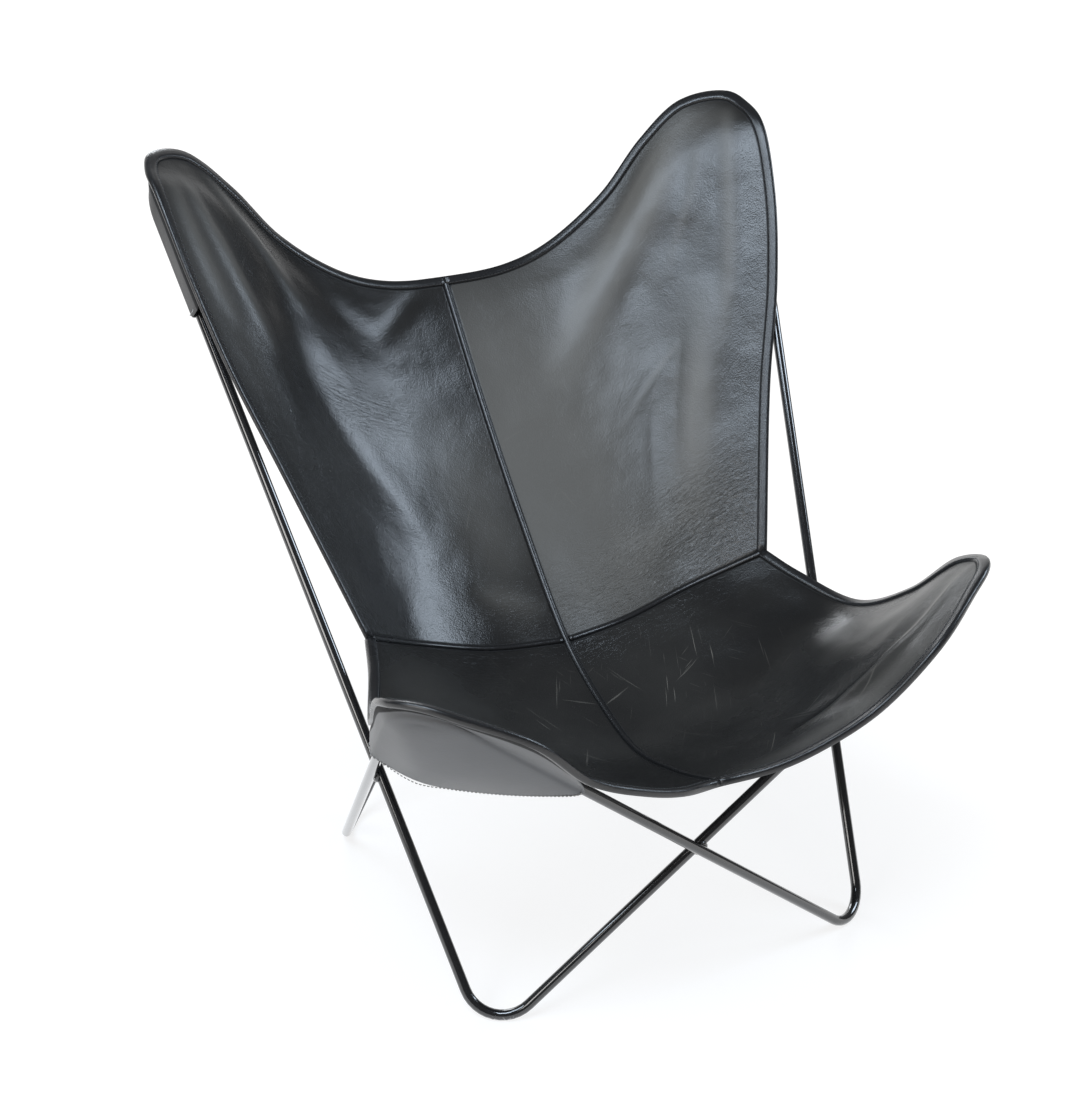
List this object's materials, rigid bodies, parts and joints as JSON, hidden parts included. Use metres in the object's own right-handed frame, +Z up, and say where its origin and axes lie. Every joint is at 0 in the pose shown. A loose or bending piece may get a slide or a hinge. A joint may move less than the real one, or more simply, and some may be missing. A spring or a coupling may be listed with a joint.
{
  "type": "butterfly sling chair",
  "caption": "Butterfly lounge chair: two bent black steel rod loops welded where they cross, with a panelled black leather sling hung over the four tips.",
  "frame": {"origin": "centre of the chair's footprint box, on the floor", "axes": "+Z up, the sitter faces -Y, +X towards the right of a viewer who stands in front and looks at the chair"},
  "size_m": [0.8, 0.7742, 0.8576],
  "materials": {
    "frame_black": "gloss black enamel on steel rod",
    "weld_black": "enamelled weld bead",
    "sling_leather": "satin black saddle leather, worn",
    "trim_leather": "black edge binding and seam welts",
    "pocket_leather": "smooth grey-black leather pockets"
  },
  "bodies": {
    "root": {"frame_loop_right": "frame_black", "frame_loop_left": "frame_black", "weld_front": "weld_black", "weld_rear": "weld_black", "weld_right": "weld_black", "weld_left": "weld_black", "back_panel_right": "sling_leather", "back_panel_left": "sling_leather", "seat_panel_right": "sling_leather", "seat_panel_left": "sling_leather", "edge_binding_back_right": "trim_leather", "edge_binding_back_left": "trim_leather", "edge_binding_seat_right": "trim_leather", "edge_binding_seat_left": "trim_leather", "back_pocket_right": "pocket_leather", "back_pocket_left": "pocket_leather", "front_pocket_right": "pocket_leather", "front_pocket_left": "pocket_leather", "cross_welt_right": "trim_leather", "cross_welt_left": "trim_leather", "centre_welt": "trim_leather"}
  },
  "joints": []
}
